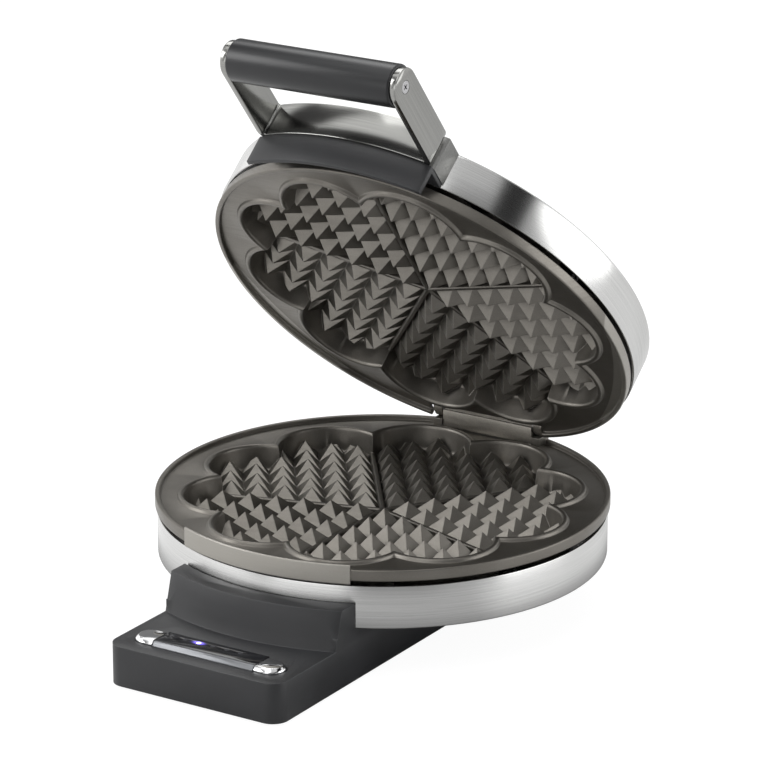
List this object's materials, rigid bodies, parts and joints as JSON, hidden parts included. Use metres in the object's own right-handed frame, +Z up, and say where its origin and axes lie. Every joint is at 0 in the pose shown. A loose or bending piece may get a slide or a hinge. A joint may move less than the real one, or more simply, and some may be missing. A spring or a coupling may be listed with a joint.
{
  "type": "electric waffle maker",
  "caption": "Round table-top electric waffle maker, lid open, with heart-shaped pyramid pockets, steel bands, a bar handle and a low control console.",
  "frame": {"origin": "middle of the bounding box on the floor plane, lid open as in the picture; the drum axis is 17.63 mm behind it", "axes": "+Z up, -Y towards the control console at the front, +X to the right seen from the front"},
  "size_m": [0.19, 0.2468, 0.2465],
  "materials": {
    "black_plastic": "fine satin grain",
    "black_rubber": "matt",
    "gloss_black": "gloss",
    "silver_trim": "satin",
    "chrome": "polished",
    "light_guide": "clear, unlit",
    "light_guide_lit": "lit",
    "board": "solder mask",
    "screw_steel": "plain",
    "component": "moulded",
    "ivory_plastic": "moulded",
    "brass": "plain",
    "stainless": "brushed",
    "sheet_steel": "plain sheet",
    "non_stick": "dark grey non-stick coating",
    "heater_sheath": "oxidised",
    "reflector": "bright sheet",
    "ceramic": "unglazed",
    "coated_steel": "dark coated",
    "sleeve": "glass fibre sleeve"
  },
  "bodies": {
    "base": {"base_housing": "black_plastic", "base_cover": "black_plastic", "foot_pads": "black_rubber", "cover_screws": "screw_steel", "panel_tray": "black_plastic", "panel_window": "gloss_black", "panel_strip": "silver_trim", "light_pipes": "light_guide", "light_pipe_lit": "light_guide_lit", "indicator_leds": "ivory_plastic", "control_board": "board", "board_screws": "screw_steel", "key_switches": "component", "power_relay": "component", "terminal_block": "ivory_plastic", "terminal_screws": "brass", "cord_gland": "black_rubber", "pan_screws": "screw_steel", "lower_band": "stainless", "lower_pan": "sheet_steel", "lower_standoffs": "sheet_steel", "lower_plate_screws": "screw_steel", "lower_plate": "non_stick", "lower_heater": "heater_sheath", "lower_heater_clips": "sheet_steel", "lower_clip_screws": "screw_steel", "lower_reflector": "reflector", "plate_sensor": "ceramic", "thermal_fuse": "ceramic", "hinge_block": "coated_steel", "hinge_block_screws": "screw_steel", "hinge_pin": "screw_steel", "hinge_clips": "screw_steel", "hinge_washers": "sheet_steel", "hinge_leads": "sleeve"},
    "lid": {"lid_shell": "stainless", "shell_screws": "screw_steel", "lid_ring": "sheet_steel", "lid_ring_screws": "screw_steel", "upper_plate": "non_stick", "upper_heater": "heater_sheath", "upper_heater_clips": "sheet_steel", "upper_clip_screws": "screw_steel", "hinge_bracket": "coated_steel", "hinge_bracket_screws": "screw_steel", "lid_leads": "sleeve", "upper_sensor": "ceramic", "handle_spacer": "stainless", "handle_strap": "stainless", "strap_screws": "screw_steel", "handle_skirt": "black_plastic", "skirt_screws": "screw_steel", "grip": "black_plastic", "grip_core": "sheet_steel", "grip_screws": "screw_steel"},
    "button_minus": {"button_minus": "chrome"},
    "button_plus": {"button_plus": "chrome"}
  },
  "joints": [
    {"name": "lid_hinge", "type": "hinge", "parent": "base", "child": "lid", "pos_m": [0, 0.10703, 0.0551], "axis": [-1, 0, 0], "range_deg": [-50.6, 49]},
    {"name": "button_minus_press", "type": "slide", "parent": "base", "child": "button_minus", "axis": [0, 0, -1], "range_m": [0, 0.001], "stiffness_N_per_m": 1500, "springref_m": -0.0004},
    {"name": "button_plus_press", "type": "slide", "parent": "base", "child": "button_plus", "axis": [0, 0, -1], "range_m": [0, 0.001], "stiffness_N_per_m": 1500, "springref_m": -0.0004}
  ]
}
